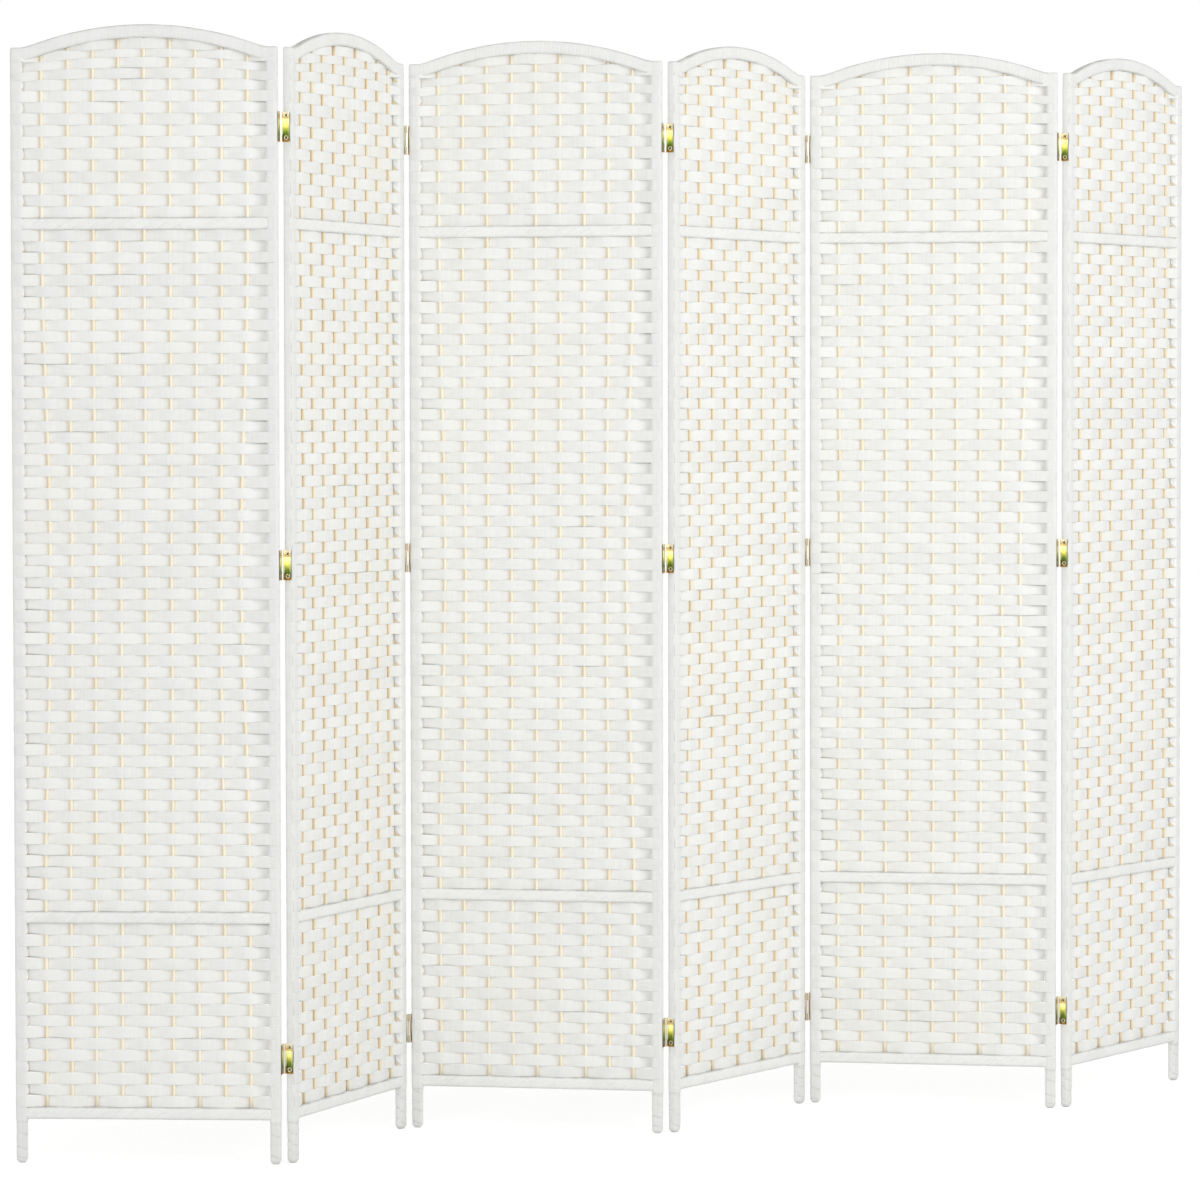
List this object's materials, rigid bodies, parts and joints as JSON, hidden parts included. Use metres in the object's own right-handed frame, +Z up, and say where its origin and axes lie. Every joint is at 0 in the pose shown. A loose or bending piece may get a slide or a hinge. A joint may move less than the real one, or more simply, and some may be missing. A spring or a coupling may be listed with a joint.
{
  "type": "folding screen",
  "caption": "Free-standing folding screen of hinged panels: wrapped posts, arched top rails, cross rails and a plain weave of pale bands over thin sticks.",
  "frame": {"origin": "on the floor, under the middle of the standing zigzag's bounding box", "axes": "+X along the zigzag from the first panel to the last, -Y to the front, +Z up"},
  "size_m": [2.0588, 0.2788, 1.698],
  "materials": {
    "post_wrap": "matt white paper fibre wound over the posts",
    "rail_wrap": "matt white paper fibre wound over the rails",
    "woven_paper": "matt white twisted-paper bands",
    "bare_stick": "bare pale bamboo",
    "hinge_zinc": "yellow zinc plate",
    "hinge_pin": "plated steel wire"
  },
  "bodies": {
    "panel_1": {"left_post_1": "post_wrap", "right_post_1": "post_wrap", "top_rail_1": "rail_wrap", "cross_rails_1": "rail_wrap", "bottom_rail_1": "rail_wrap", "sticks_1": "bare_stick", "woven_bands_1": "woven_paper", "hinge_leaves_1_right": "hinge_zinc"},
    "panel_2": {"left_post_2": "post_wrap", "right_post_2": "post_wrap", "top_rail_2": "rail_wrap", "cross_rails_2": "rail_wrap", "bottom_rail_2": "rail_wrap", "sticks_2": "bare_stick", "woven_bands_2": "woven_paper", "hinge_leaves_2_left": "hinge_zinc", "hinge_leaves_2_right": "hinge_zinc", "hinge_pins_12": "hinge_pin", "hinge_pins_23": "hinge_pin"},
    "panel_3": {"left_post_3": "post_wrap", "right_post_3": "post_wrap", "top_rail_3": "rail_wrap", "cross_rails_3": "rail_wrap", "bottom_rail_3": "rail_wrap", "sticks_3": "bare_stick", "woven_bands_3": "woven_paper", "hinge_leaves_3_left": "hinge_zinc", "hinge_leaves_3_right": "hinge_zinc"},
    "panel_4": {"left_post_4": "post_wrap", "right_post_4": "post_wrap", "top_rail_4": "rail_wrap", "cross_rails_4": "rail_wrap", "bottom_rail_4": "rail_wrap", "sticks_4": "bare_stick", "woven_bands_4": "woven_paper", "hinge_leaves_4_left": "hinge_zinc", "hinge_leaves_4_right": "hinge_zinc", "hinge_pins_34": "hinge_pin", "hinge_pins_45": "hinge_pin"},
    "panel_5": {"left_post_5": "post_wrap", "right_post_5": "post_wrap", "top_rail_5": "rail_wrap", "cross_rails_5": "rail_wrap", "bottom_rail_5": "rail_wrap", "sticks_5": "bare_stick", "woven_bands_5": "woven_paper", "hinge_leaves_5_left": "hinge_zinc", "hinge_leaves_5_right": "hinge_zinc"},
    "panel_6": {"left_post_6": "post_wrap", "right_post_6": "post_wrap", "top_rail_6": "rail_wrap", "cross_rails_6": "rail_wrap", "bottom_rail_6": "rail_wrap", "sticks_6": "bare_stick", "woven_bands_6": "woven_paper", "hinge_leaves_6_left": "hinge_zinc", "hinge_pins_56": "hinge_pin"}
  },
  "joints": [
    {"name": "fold_12", "type": "hinge", "parent": "panel_1", "child": "panel_2", "pos_m": [-0.67161, -0.12451, 0.8], "axis": [0, 0, 1], "range_deg": [-70.7, 109.3]},
    {"name": "fold_23", "type": "hinge", "parent": "panel_2", "child": "panel_3", "pos_m": [-0.35526, 0.12812, 0.8], "axis": [0, 0, -1], "range_deg": [-77.5, 102.5]},
    {"name": "fold_34", "type": "hinge", "parent": "panel_3", "child": "panel_4", "pos_m": [-0.0177, -0.09539, 0.8], "axis": [0, 0, 1], "range_deg": [-67.3, 112.7]},
    {"name": "fold_45", "type": "hinge", "parent": "panel_4", "child": "panel_5", "pos_m": [0.33838, 0.09723, 0.8], "axis": [0, 0, -1], "range_deg": [-67.4, 112.6]},
    {"name": "fold_56", "type": "hinge", "parent": "panel_5", "child": "panel_6", "pos_m": [0.67555, -0.12687, 0.8], "axis": [0, 0, 1], "range_deg": [-66.9, 113.1]}
  ]
}
